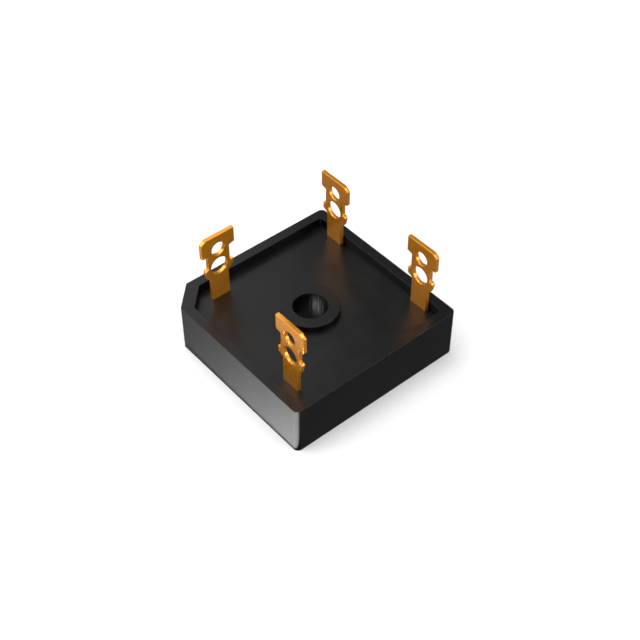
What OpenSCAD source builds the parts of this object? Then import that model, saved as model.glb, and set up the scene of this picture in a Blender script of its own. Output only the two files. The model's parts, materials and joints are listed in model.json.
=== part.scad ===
// Single-phase bridge rectifier in a square potted case with four upright tabs.
// Millimetres. The origin is the centre of the underside, on the axis of the
// mounting hole, and +Z points up to the tabs. The chamfered corner at -X -Y
// marks the positive tab, and the negative tab stands in the corner opposite.

/* [Case] */
// Side of the square case
case_side = 28.5; // [27:0.1:32]
// Height of the case, from its underside to its rim
case_height = 7.85; // [7.4:0.05:12]
// Thickness of the side walls
wall = 1.5; // [1.2:0.05:1.8]
// Thickness of the wall across the chamfered corner
chamfer_wall = 1.9; // [1.4:0.05:2.4]
// Leg of the chamfer on the positive corner
chamfer_leg = 3.4; // [2:0.1:4]
// Radius of the other three upright corners, outside
corner_radius = 0.8; // [0.4:0.1:1.8]
// Radius of the same corners, inside
inner_corner_radius = 0.5; // [0.2:0.1:1]
// Depth of the potting's surface below the rim
recess_depth = 1.4; // [0.6:0.05:1.9]

/* [Mounting hole] */
// Diameter of the hole for the mounting screw
hole_diameter = 5; // [4.2:0.1:5.4]
// Diameter of the bush around the hole
bush_diameter = 8.4; // [7.6:0.1:8.8]
// Height of the bush above the potting
bush_rise = 0.85; // [0.3:0.05:1.5]
// Diameter of the spigot below the bush, which passes through the base plate
spigot_diameter = 7; // [6.6:0.1:7.4]
// Width of the webs that tie the bush to the walls
web_width = 1.4; // [0.8:0.1:2]
// Height of these webs
web_height = 1.2; // [0.8:0.1:1.6]
// Clear height between the webs and the straps below them
web_clearance = 0.6; // [0.3:0.1:0.8]

/* [Base plate] */
// Thickness of the metal base plate
plate_thickness = 1.6; // [1:0.1:2]
// Thickness of the insulating sheet on the base plate
insulator_thickness = 0.3; // [0.2:0.05:0.5]
// Depth of the rebate in the walls that holds the plate and the sheet
rebate = 0.4; // [0.2:0.05:0.6]

/* [Tabs] */
// Thickness of the tab metal
tab_thickness = 0.6; // [0.4:0.05:0.8]
// Height of the tabs above the potting
tab_rise = 11.2; // [11:0.05:14]
// Width of a tab's head
head_width = 5.5; // [5:0.05:6.3]
// Height of the head on its square side
head_height = 3; // [2.6:0.1:3.2]
// How much higher the sloping shoulder starts on the head's other side
shoulder_lift = 0.3; // [0:0.05:0.6]
// Fall of the sloping shoulder from the head to the neck
shoulder_fall = 0.25; // [0:0.05:0.4]
// Width of the chamfer at the top of the head
head_chamfer_width = 0.8; // [0.2:0.05:1]
// Height of the same chamfer
head_chamfer_height = 0.55; // [0.2:0.05:1]
// Width of the neck below the head
neck_width = 3.65; // [3.4:0.05:4]
// Width across the two ears
ear_span = 4.72; // [4.2:0.02:5]
// Height of the top of the ears above the potting
ear_top = 5.8; // [5.4:0.1:6.2]
// Height of the ears
ear_height = 1.9; // [1.4:0.1:2.4]
// Size of the small cuts that shape the ears
ear_cut = 0.25; // [0.1:0.05:0.3]
// Width of the strip that runs down into the potting
strip_width = 3; // [2.4:0.1:3.4]
// Diameter of the upper wire hole
upper_hole_diameter = 2.2; // [1.6:0.1:2.4]
// Height of the upper wire hole above the potting
upper_hole_height = 8.8; // [8.55:0.05:9.05]
// Diameter of the lower wire hole
lower_hole_diameter = 2.8; // [2:0.1:2.9]
// Height of the lower wire hole above the potting
lower_hole_height = 5.75; // [5.45:0.05:6.05]
// Length of the foot that is bent over at the bottom of the strip
foot_length = 3.6; // [2.8:0.1:4]
// Inside radius of the bend above the foot
bend_radius = 0.5; // [0.3:0.1:0.8]

/* [Tab places] */
// Distance between the negative tab and the tab beside it
tab_pitch = 18; // [17:0.1:18.4]
// Distance of the positive tab from the case's centre line
positive_tab_line = 7.6; // [7:0.1:8.5]
// Distance from the wall to the outer face of the positive and front tabs
tab_inset = 1.8; // [1.4:0.1:2.2]
// Distance from the rear wall to the back face of the two rear tabs
rear_inset = 0.15; // [0.1:0.05:0.6]

/* [Diode ring] */
// Side of a square diode die
die_side = 4.6; // [3:0.1:5]
// Thickness of a die
die_thickness = 0.3; // [0.2:0.05:0.4]
// Thickness of each solder layer
solder_thickness = 0.1; // [0.05:0.01:0.15]
// Thickness of the copper straps
strap_thickness = 0.6; // [0.4:0.05:0.7]
// Margin of strap around a die
die_margin = 0.2; // [0.1:0.05:0.3]
// Gap between the bush and the straps
strap_gap = 0.8; // [0.5:0.1:1]
// Gap between the walls and the straps' corner pads
pad_gap = 1.75; // [1.4:0.05:2.2]
// Length of flat strap between a die and the joggle
joggle_land = 0.4; // [0.2:0.1:0.6]
// Length of the joggle's slope
joggle_run = 1.4; // [1:0.1:1.6]

/* [Hidden] */
$fn = 72;
epsilon = 0.5; // how far a cutting tool runs past the face that it cuts

case_half = case_side / 2;
cavity_half = case_half - wall;
plate_half = cavity_half + rebate;

// Levels, from the underside up
seat_z = plate_thickness + insulator_thickness;
low_strap_top = seat_z + strap_thickness;
die_z = low_strap_top + solder_thickness;
high_strap_z = die_z + die_thickness + solder_thickness;
web_z = high_strap_z + strap_thickness + web_clearance;
potting_z = case_height - recess_depth;
bush_top = potting_z + bush_rise;
foot_z = low_strap_top + solder_thickness;
bend_top = foot_z + tab_thickness + bend_radius;

// Plan of the diode ring
strap_width = die_side + 2 * die_margin;
ring_inner = bush_diameter / 2 + strap_gap;
ring_radius = ring_inner + strap_width / 2;
pad_outer = cavity_half - pad_gap;
pad_chamfer = (pad_outer - ring_inner) / 4;

// Half widths of the tab's outline
strip_half = strip_width / 2;
neck_half = neck_width / 2;
head_half = head_width / 2;
ear_half = ear_span / 2;
head_step = tab_rise - head_height;
shoulder_top = head_step + shoulder_lift + shoulder_fall;

// Each tab: centre line and outer face in plan, turn about Z, and whether its foot points forward
tab_x = tab_pitch / 2;
outer_face = cavity_half - tab_inset;
rear_face = cavity_half - rear_inset - tab_thickness;
tab_places = [
    ["positive", [-outer_face, -positive_tab_line], -90, false],
    ["negative", [tab_x, rear_face], 0, true],
    ["ac_1", [-tab_x, rear_face], 0, true],
    ["ac_2", [tab_x, -outer_face], 0, false]
];

// Each strap: the turn of its corner, and whether its two arms lie on top of their dies
strap_places = [
    ["positive", 180, false, false],
    ["negative", 0, true, true],
    ["ac_1", 90, false, true],
    ["ac_2", 270, true, false]
];

// Turn of each die's place on the ring: both positive dies, then both negative dies
die_turns = [180, 270, 90, 0];
dies = [1:4];
corners = [0:3];

// ---- Outlines in plan ----

// Leg of the chamfer on an outline that lies inside the case's own
function inside_leg(side_inset, chamfer_inset) =
    chamfer_leg - 2 * side_inset + sqrt(2) * chamfer_inset;

// What rounding takes off a corner at [half, half]
module corner_waste(half, radius) {
    translate([half - radius, half - radius])
        difference() {
            square(radius + epsilon);
            circle(radius);
        }
}

// A square with three round corners and a chamfered one at -X -Y
module square_outline(half, radius, leg) {
    difference() {
        square(2 * half, center = true);
        for (turn = [-90, 0, 90])
            rotate(turn)
                corner_waste(half, radius);
        translate([-half, -half])
            rotate(45)
                square(sqrt(2) * leg, center = true);
    }
}

module case_outline() {
    square_outline(case_half, corner_radius, chamfer_leg);
}

module cavity_outline() {
    square_outline(cavity_half, inner_corner_radius, inside_leg(wall, chamfer_wall));
}

// The base plate and its sheet share this outline and the spigot's hole
module plate_outline() {
    square_outline(plate_half, inner_corner_radius, inside_leg(wall - rebate, chamfer_wall - rebate));
}

// ---- Case ----

// Four webs, buried in the potting, that tie the bush to the walls
module webs() {
    reach = 2 * cavity_half + wall;
    for (turn = [0, 90])
        rotate(turn)
            translate([-reach / 2, -web_width / 2, web_z])
                cube([reach, web_width, web_height]);
}

module case_shell() {
    difference() {
        linear_extrude(case_height)
            case_outline();
        translate([0, 0, seat_z])
            linear_extrude(case_height)
                cavity_outline();
        translate([0, 0, -epsilon])
            linear_extrude(seat_z + epsilon)
                plate_outline();
    }
}

module bush() {
    cylinder(d = spigot_diameter, h = bush_top);
    translate([0, 0, seat_z])
        cylinder(d = bush_diameter, h = bush_top - seat_z);
}

module case() {
    color([0.13, 0.13, 0.14])
        difference() {
            union() {
                case_shell();
                bush();
                webs();
            }
            translate([0, 0, -epsilon])
                cylinder(d = hole_diameter, h = bush_top + 2 * epsilon);
        }
}

// ---- Base ----

module plate_layer(thickness) {
    linear_extrude(thickness)
        difference() {
            plate_outline();
            circle(d = spigot_diameter);
        }
}

module base_plate() {
    color([0.75, 0.76, 0.78])
        plate_layer(plate_thickness);
}

module insulator() {
    color([0.93, 0.93, 0.9])
        translate([0, 0, plate_thickness])
            plate_layer(insulator_thickness);
}

// ---- Tabs ----

// The rounded ear on the head's square side
module square_side_ear() {
    polygon([
        [0, ear_top - ear_height],
        [strip_half, ear_top - ear_height],
        [ear_half - ear_cut, ear_top - ear_height + ear_cut],
        [ear_half, ear_top - 2 * ear_cut],
        [ear_half, ear_top - ear_cut],
        [ear_half - ear_cut, ear_top],
        [0, ear_top]
    ]);
}

// The hooked ear on the side of the sloping shoulder, with a notch beside the neck
module hooked_ear() {
    polygon([
        [0, ear_top - ear_height],
        [-strip_half, ear_top - ear_height + 2 * ear_cut],
        [-ear_half, ear_top - ear_height / 2],
        [-ear_half, ear_top],
        [-(ear_half + neck_half) / 2, ear_top - ear_cut],
        [-neck_half, ear_top + ear_cut],
        [0, ear_top + ear_cut]
    ]);
}

module head() {
    polygon([
        [-neck_half, shoulder_top - shoulder_fall],
        [-neck_half, head_step],
        [head_half, head_step],
        [head_half, tab_rise - head_chamfer_height],
        [head_half - head_chamfer_width, tab_rise],
        [-head_half, tab_rise],
        [-head_half, shoulder_top]
    ]);
}

// The tab's outline seen from its front, with the potting's surface at Y = 0
module tab_outline() {
    difference() {
        union() {
            translate([-strip_half, bend_top - potting_z])
                square([strip_width, potting_z - bend_top + ear_top]);
            translate([-neck_half, ear_top - ear_cut])
                square([neck_width, head_step - ear_top + 2 * ear_cut]);
            square_side_ear();
            hooked_ear();
            head();
        }
        translate([0, upper_hole_height])
            circle(d = upper_hole_diameter);
        translate([0, lower_hole_height])
            circle(d = lower_hole_diameter);
    }
}

// The bend and the foot seen from the side, with the strip's outer face at X = 0
module foot_profile() {
    bend_size = bend_radius + tab_thickness;
    translate([bend_size, bend_top])
        intersection() {
            difference() {
                circle(bend_size);
                circle(bend_radius);
            }
            translate([-bend_size, -bend_size])
                square(bend_size);
        }
    translate([bend_size, foot_z])
        square([foot_length - bend_radius, tab_thickness]);
}

// Turns a foot that points back into one that points forward
module facing(forward) {
    if (forward)
        translate([0, tab_thickness, 0])
            mirror([0, 1, 0])
                children();
    else
        children();
}

module at_tab(i) {
    translate(tab_places[i][1])
        rotate(tab_places[i][2])
            children();
}

// One stamping: head, neck, ears and strip in one plane, and the foot bent square to it
module tab(i) {
    at_tab(i) {
        translate([0, tab_thickness, potting_z])
            rotate([90, 0, 0])
                linear_extrude(tab_thickness)
                    tab_outline();
        facing(tab_places[i][3])
            translate([-strip_half, 0, 0])
                rotate([90, 0, 90])
                    linear_extrude(strip_width)
                        foot_profile();
    }
}

module terminal(i) {
    color([0.83, 0.58, 0.2])
        tab(i);
}

// The flat of a tab's foot, in plan
module foot_outline(i) {
    at_tab(i)
        facing(tab_places[i][3])
            translate([-strip_half, tab_thickness + bend_radius])
                square([strip_width, foot_length - bend_radius]);
}

// A layer where a foot lies over its strap's corner pad
module foot_joint(i, z, thickness) {
    translate([0, 0, z])
        linear_extrude(thickness)
            intersection() {
                foot_outline(i);
                rotate(strap_places[i][1])
                    pad_outline();
            }
}

module terminal_solder(i) {
    color([0.8, 0.8, 0.82])
        foot_joint(i, low_strap_top, solder_thickness);
}

// ---- Diode ring ----

// The corner pad of a strap, in plan, for the corner at +X +Y
module pad_outline() {
    polygon([
        [ring_inner, ring_inner],
        [pad_outer, ring_inner],
        [pad_outer, pad_outer - pad_chamfer],
        [pad_outer - pad_chamfer, pad_outer],
        [ring_inner, pad_outer]
    ]);
}

// A strap's arm seen from the side: over its die it is flat or one step up
module arm_profile(high) {
    lift = high ? high_strap_z - seat_z : 0;
    slope_start = strap_width / 2 + joggle_land;
    slope_end = slope_start + joggle_run;
    slope = atan(lift / joggle_run);
    shift = strap_thickness * tan(slope / 2);
    polygon([
        [-strap_width / 2, seat_z + lift],
        [slope_start, seat_z + lift],
        [slope_end, seat_z],
        [ring_inner, seat_z],
        [ring_inner, low_strap_top],
        [slope_end + shift, low_strap_top],
        [slope_start + shift, low_strap_top + lift],
        [-strap_width / 2, low_strap_top + lift]
    ]);
}

// The arm that reaches from the corner at +X +Y to the die on the +X axis
module arm(high) {
    translate([ring_inner, 0, 0])
        rotate([90, 0, 90])
            linear_extrude(strap_width)
                arm_profile(high);
}

module strap_shape(i) {
    rotate(strap_places[i][1]) {
        translate([0, 0, seat_z])
            linear_extrude(strap_thickness)
                pad_outline();
        arm(strap_places[i][2]);
        mirror([1, -1, 0])
            arm(strap_places[i][3]);
    }
}

module strap(i) {
    color([0.75, 0.42, 0.25])
        strap_shape(i);
}

// A square layer at a die's place on the ring
module die_layer(i, z, thickness) {
    rotate(die_turns[i - 1])
        translate([ring_radius - die_side / 2, -die_side / 2, z])
            cube([die_side, die_side, thickness]);
}

module diode_die(i) {
    color([0.3, 0.31, 0.34])
        die_layer(i, die_z, die_thickness);
}

module die_solder_lower(i) {
    color([0.8, 0.8, 0.82])
        die_layer(i, low_strap_top, solder_thickness);
}

module die_solder_upper(i) {
    color([0.8, 0.8, 0.82])
        die_layer(i, die_z + die_thickness, solder_thickness);
}

// ---- Potting ----

// Everything that the potting flows around, with each joint's layers as one
// column that reaches into the middle of the metal below and above it
module buried() {
    webs();
    for (i = corners) {
        tab(i);
        foot_joint(i, low_strap_top - strap_thickness / 2,
            solder_thickness + (strap_thickness + tab_thickness) / 2);
        strap_shape(i);
    }
    for (i = dies)
        die_layer(i, low_strap_top - strap_thickness / 2,
            high_strap_z - low_strap_top + strap_thickness);
}

module potting() {
    color([0.16, 0.16, 0.17])
        difference() {
            translate([0, 0, seat_z])
                linear_extrude(potting_z - seat_z)
                    difference() {
                        cavity_outline();
                        circle(d = bush_diameter);
                    }
            buried();
        }
}

case();
base_plate();
insulator();
potting();
for (i = corners) {
    terminal(i);
    terminal_solder(i);
    strap(i);
}
for (i = dies) {
    diode_die(i);
    die_solder_lower(i);
    die_solder_upper(i);
}
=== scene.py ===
"""Looks of the potted bridge rectifier: rounded edges, materials, soft light and the camera."""
import json
import math

import bpy
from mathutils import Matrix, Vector

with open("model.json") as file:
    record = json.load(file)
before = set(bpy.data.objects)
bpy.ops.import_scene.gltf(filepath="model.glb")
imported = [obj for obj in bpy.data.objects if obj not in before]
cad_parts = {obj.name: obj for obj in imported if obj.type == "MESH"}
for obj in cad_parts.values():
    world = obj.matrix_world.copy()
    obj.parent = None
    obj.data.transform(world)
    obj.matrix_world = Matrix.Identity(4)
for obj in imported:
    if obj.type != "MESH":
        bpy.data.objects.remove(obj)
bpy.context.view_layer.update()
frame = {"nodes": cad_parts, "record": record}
nodes = frame["nodes"]

MM = 0.001

# Camera
CAMERA_PLACE = Vector((93.30, -77.33, 128.36)) * MM
CAMERA_DIRECTION = Vector((-0.5334, 0.4521, -0.7150))
CAMERA_LENS = 69.4
SENSOR_WIDTH = 36.0
NEAREST_SEEN = 1 * MM

# Edge rounding
SHARP_ANGLE = math.radians(35)
PLANAR_ANGLE = math.radians(1)
WELD_DISTANCE = 0.001 * MM
BEVEL_SEGMENTS = 3
FLAT_FACE_WEIGHT = 90
BEVELS = {
    "case_plastic": 0.04 * MM,
    "potting_resin": 0.02 * MM,
    "tab_metal": 0.05 * MM,
    "base_metal": 0.12 * MM,
    "strap_copper": 0.06 * MM,
}

# Materials
NOISE_LOW = 0.3  # most of a noise pattern lies between these two
NOISE_HIGH = 0.7
BLACK_TINTS = ((0.001, 0.001, 0.001), (0.002, 0.002, 0.002))
BLACK_SPECULAR = 0.4
BORE_REACH = 2.55 * MM  # just past the wall of the mounting hole

# Stage and light
FLOOR_SIZE = 4
FLOOR_COLOR = (0.9, 0.9, 0.9)
FLOOR_ROUGHNESS = 0.7
WORLD_COLOR = (1, 1, 1)
WORLD_STRENGTH = 0.15
FLOOR_LAMP_HEIGHT = 0.1  # millimetres above the floor


# ---- Surface clean-up and rounded edges ----

def make_weld_group():
    """Joins the faces of an imported solid, drops their stored normals and shades them smooth."""
    group = bpy.data.node_groups.new("weld_and_smooth", "GeometryNodeTree")
    group.interface.new_socket("Geometry", in_out="INPUT", socket_type="NodeSocketGeometry")
    group.interface.new_socket("Geometry", in_out="OUTPUT", socket_type="NodeSocketGeometry")
    steps = [group.nodes.new(kind) for kind in (
        "NodeGroupInput", "GeometryNodeMergeByDistance", "GeometryNodeRemoveAttribute",
        "GeometryNodeSetShadeSmooth", "NodeGroupOutput")]
    steps[1].inputs["Distance"].default_value = WELD_DISTANCE
    steps[2].inputs["Name"].default_value = "custom_normal"
    for before, after in zip(steps, steps[1:]):
        group.links.new(before.outputs[0], after.inputs[0])
    return group


weld_group = make_weld_group()


def round_edges(piece, width):
    """Rounds the sharp edges of a solid with modifiers, so that its own mesh stays as packed."""
    weld = piece.modifiers.new("weld", "NODES")
    weld.node_group = weld_group
    merge = piece.modifiers.new("planar", "DECIMATE")
    merge.decimate_type = "DISSOLVE"
    merge.angle_limit = PLANAR_ANGLE
    bevel = piece.modifiers.new("bevel", "BEVEL")
    bevel.width = width
    bevel.segments = BEVEL_SEGMENTS
    bevel.limit_method = "ANGLE"
    bevel.angle_limit = SHARP_ANGLE
    bevel.use_clamp_overlap = False
    bevel.miter_outer = "MITER_ARC"
    normals = piece.modifiers.new("normals", "WEIGHTED_NORMAL")
    normals.weight = FLAT_FACE_WEIGHT


# ---- Materials ----

class Surface:
    """A Principled material and short calls that add to its node tree."""

    def __init__(self, name, metallic=0):
        self.material = bpy.data.materials.new(name)
        self.material.use_nodes = True
        self.tree = self.material.node_tree
        self.shader = self.tree.nodes["Principled BSDF"]
        self.place = self.node("TexCoord").outputs["Object"]
        self.set("Metallic", metallic)

    def node(self, kind, inputs=(), **settings):
        """Adds a node with these settings, then sets or links each of the given inputs."""
        node = self.tree.nodes.new("ShaderNode" + kind)
        for name, value in settings.items():
            setattr(node, name, value)
        for name, value in dict(inputs).items():
            if isinstance(value, bpy.types.NodeSocket):
                self.tree.links.new(value, node.inputs[name])
            else:
                node.inputs[name].default_value = value
        return node

    def set(self, socket, value):
        """Sets a value that is the same all over the surface."""
        self.shader.inputs[socket].default_value = value

    def link(self, output, socket):
        """Lets a pattern drive the shader."""
        self.tree.links.new(output, self.shader.inputs[socket])

    def noise(self, size, detail, stretch=(1, 1, 1)):
        """Noise whose features are about this size, drawn out along an axis by stretch."""
        mapping = self.node("Mapping", {
            "Vector": self.place, "Scale": [1 / (size * factor) for factor in stretch]})
        texture = self.node("TexNoise", {
            "Vector": mapping.outputs["Vector"], "Scale": 1, "Detail": detail})
        return texture.outputs["Fac"]

    def spread(self, pattern, low, high):
        """Maps the middle of a noise pattern to the range from low to high."""
        return self.node("MapRange", {
            "Value": pattern, "From Min": NOISE_LOW, "From Max": NOISE_HIGH,
            "To Min": low, "To Max": high}).outputs["Result"]

    def within(self, pattern, radius):
        """Keeps a pattern only within this distance from the Z axis."""
        flat = self.node("VectorMath", {0: self.place, 1: (1, 1, 0)}, operation="MULTIPLY")
        reach = self.node("VectorMath", {0: flat.outputs["Vector"]}, operation="LENGTH")
        mask = self.node("Math", {0: reach.outputs["Value"], 1: radius}, operation="LESS_THAN")
        product = self.node("Math", {0: mask.outputs["Value"], 1: pattern}, operation="MULTIPLY")
        return product.outputs["Value"]

    def roughness(self, pattern, low, high):
        """Varies the roughness from low to high."""
        self.link(self.spread(pattern, low, high), "Roughness")

    def tint(self, pattern, first, second):
        """Blends the base colour between two colours."""
        blend = self.node("Mix", {
            "A": (*first, 1), "B": (*second, 1), "Factor": self.spread(pattern, 0, 1)},
            data_type="RGBA")
        self.link(blend.outputs["Result"], "Base Color")

    def bump(self, *layers):
        """Stacks bump layers, each a pattern and its depth in metres."""
        below = {}
        for pattern, depth in layers:
            node = self.node("Bump", {"Strength": 1, "Distance": depth, "Height": pattern, **below})
            below = {"Normal": node.outputs["Normal"]}
        self.link(node.outputs["Normal"], "Normal")


def case_plastic():
    """Satin black moulding with a fine grain, faint draw marks and stronger ones in the bore."""
    surface = Surface("moulded_plastic")
    surface.set("Specular IOR Level", BLACK_SPECULAR)
    grain = surface.noise(0.12 * MM, detail=4)
    patches = surface.noise(5 * MM, detail=3)
    draw_marks = surface.noise(0.35 * MM, detail=2, stretch=(1, 1, 40))
    bore_marks = surface.noise(0.16 * MM, detail=2, stretch=(1, 1, 40))
    surface.tint(patches, *BLACK_TINTS)
    surface.roughness(grain, 0.27, 0.33)
    surface.bump(
        (grain, 0.001 * MM),
        (draw_marks, 0.008 * MM),
        (surface.within(bore_marks, BORE_REACH), 0.05 * MM),
        (patches, 0.004 * MM))
    return surface.material


def potting_resin():
    """Cast black resin, as satin as the case, with a slow unevenness."""
    surface = Surface("cast_resin")
    surface.set("Specular IOR Level", BLACK_SPECULAR)
    grain = surface.noise(0.2 * MM, detail=3)
    waves = surface.noise(4 * MM, detail=2)
    surface.tint(waves, *BLACK_TINTS)
    surface.roughness(waves, 0.29, 0.35)
    surface.bump((grain, 0.0008 * MM), (waves, 0.004 * MM))
    return surface.material


def tab_metal():
    """Gold-coloured plating, polished, with faint rolling marks along the tab."""
    surface = Surface("gold_plating", metallic=0.68)
    surface.set("Coat Weight", 0.65)
    surface.set("Coat Roughness", 0.12)
    rolling = surface.noise(0.10 * MM, detail=3, stretch=(1, 1, 12))
    patches = surface.noise(2.5 * MM, detail=3)
    surface.tint(patches, (0.83, 0.30, 0.012), (0.89, 0.345, 0.02))
    surface.roughness(rolling, 0.15, 0.22)
    surface.bump((rolling, 0.0003 * MM))
    return surface.material


def base_metal():
    """Bare plate with fine brush marks along X."""
    surface = Surface("brushed_plate", metallic=1)
    brush = surface.noise(0.06 * MM, detail=4, stretch=(60, 1, 1))
    stains = surface.noise(3 * MM, detail=4)
    surface.tint(stains, (0.66, 0.67, 0.69), (0.76, 0.77, 0.79))
    surface.roughness(brush, 0.26, 0.44)
    surface.bump((brush, 0.003 * MM))
    return surface.material


def insulator_sheet():
    """Matt white filled sheet with a fine grain."""
    surface = Surface("filled_sheet")
    grain = surface.noise(0.15 * MM, detail=5)
    surface.tint(grain, (0.78, 0.78, 0.75), (0.88, 0.88, 0.85))
    surface.roughness(grain, 0.5, 0.7)
    surface.bump((grain, 0.01 * MM))
    return surface.material


def strap_copper():
    """Rolled copper, lightly darkened."""
    surface = Surface("rolled_copper", metallic=1)
    rolling = surface.noise(0.08 * MM, detail=3, stretch=(1, 20, 1))
    stains = surface.noise(1.5 * MM, detail=4)
    surface.tint(stains, (0.60, 0.30, 0.18), (0.78, 0.44, 0.28))
    surface.roughness(rolling, 0.26, 0.42)
    surface.bump((rolling, 0.002 * MM))
    return surface.material


def solder():
    """Dull solder with a slightly lumpy skin."""
    surface = Surface("dull_solder", metallic=1)
    lumps = surface.noise(0.3 * MM, detail=5)
    surface.tint(lumps, (0.52, 0.53, 0.55), (0.70, 0.71, 0.73))
    surface.roughness(lumps, 0.32, 0.55)
    surface.bump((lumps, 0.01 * MM))
    return surface.material


def die_silicon():
    """Dark metallised silicon with a faint sawn grain."""
    surface = Surface("silicon", metallic=0.6)
    saw = surface.noise(0.04 * MM, detail=3, stretch=(1, 1, 10))
    surface.tint(saw, (0.08, 0.09, 0.11), (0.13, 0.14, 0.17))
    surface.roughness(saw, 0.18, 0.34)
    surface.bump((saw, 0.001 * MM))
    return surface.material


def pale_floor():
    """Matt and nearly white, the same all over."""
    surface = Surface("pale_floor")
    surface.set("Base Color", (*FLOOR_COLOR, 1))
    surface.set("Roughness", FLOOR_ROUGHNESS)
    return surface.material


# Each material under the slot of the record that it is for
MATERIALS = {make.__name__: make() for make in (
    case_plastic, potting_resin, tab_metal, base_metal,
    insulator_sheet, strap_copper, solder, die_silicon)}


def dress_nodes():
    """Gives every CAD node its slot's material, and rounds the edges of those whose slot has a
    bevel width.
    """
    for subpart in frame["record"]["subparts"]:
        piece = nodes[subpart["node"]]
        slot = subpart["material_slot"]
        for place in piece.material_slots:
            place.material = MATERIALS[slot]
        if slot in BEVELS:
            round_edges(piece, BEVELS[slot])


# ---- Stage ----

def add_floor():
    """A plain pale floor under the part, left out of reflections."""
    bpy.ops.mesh.primitive_plane_add(size=FLOOR_SIZE)
    floor = bpy.context.object
    floor.name = "floor"
    floor.data.materials.append(pale_floor())
    floor.visible_glossy = False


def add_world():
    """An even, dim surrounding."""
    world = bpy.data.worlds.new("studio")
    world.use_nodes = True
    background = world.node_tree.nodes["Background"]
    background.inputs["Color"].default_value = (*WORLD_COLOR, 1)
    background.inputs["Strength"].default_value = WORLD_STRENGTH
    bpy.context.scene.world = world


def add_softbox(name, place, aim, size, power, spread=180):
    """A rectangular lamp that faces aim, unseen itself. In millimetres, watts and degrees."""
    lamp = bpy.data.lights.new(name, "AREA")
    lamp.shape = "RECTANGLE"
    lamp.size, lamp.size_y = (side * MM for side in size)
    lamp.energy = power
    lamp.spread = math.radians(spread)
    light = bpy.data.objects.new(name, lamp)
    light.location = Vector(place) * MM
    light.rotation_euler = (Vector(aim) - Vector(place)).to_track_quat("-Z", "Y").to_euler()
    light.visible_camera = False
    bpy.context.scene.collection.objects.link(light)


def add_lamps():
    """The studio's soft lamps, and small ones where the part needs them."""
    # Overhead, for the floor and the upward faces
    add_softbox("key", (-160, -170, 270), (0, 0, 0), (400, 400), 1.3)
    add_softbox("top", (0, 50, 450), (0, 20, 0), (300, 300), 0.88)

    # At the sides and behind, for the tabs and the walls of their holes
    add_softbox("fill", (190, -160, 160), (0, 0, 10), (160, 160), 0.28)
    add_softbox("back_right", (200, 115, 80), (0, 0, 10), (130, 140), 0.18)
    add_softbox("back", (130, 110, 220), (0, 0, 10), (140, 140), 0.06)
    add_softbox("back_left", (-180, 40, 165), (0, 0, 5), (160, 140), 0.065)

    # On the floor and facing up, for the sheen on the front-left side
    low = FLOOR_LAMP_HEIGHT
    add_softbox("low_front", (30, -120, low), (30, -120, 10), (120, 200), 0.024)
    add_softbox("front", (2, -22.2, low), (2, -22.2, 10), (44, 15.7), 0.0172, spread=77)

    # Inside the mounting hole, for the marks on its wall
    add_softbox("bore", (-0.6, -2.1, 0.8), (-0.6, 2.5, 3.5), (1.8, 0.6), 0.000021, spread=110)


def add_camera():
    """Looks at the part from the photograph's angle."""
    lens = bpy.data.cameras.new("camera")
    lens.lens = CAMERA_LENS
    lens.sensor_width = SENSOR_WIDTH
    lens.clip_start = NEAREST_SEEN
    camera = bpy.data.objects.new("camera", lens)
    camera.location = CAMERA_PLACE
    camera.rotation_euler = CAMERA_DIRECTION.to_track_quat("-Z", "Y").to_euler()
    bpy.context.scene.collection.objects.link(camera)
    bpy.context.scene.camera = camera


dress_nodes()
add_floor()
add_world()
add_lamps()
add_camera()
bpy.context.scene.view_settings.view_transform = "Standard"
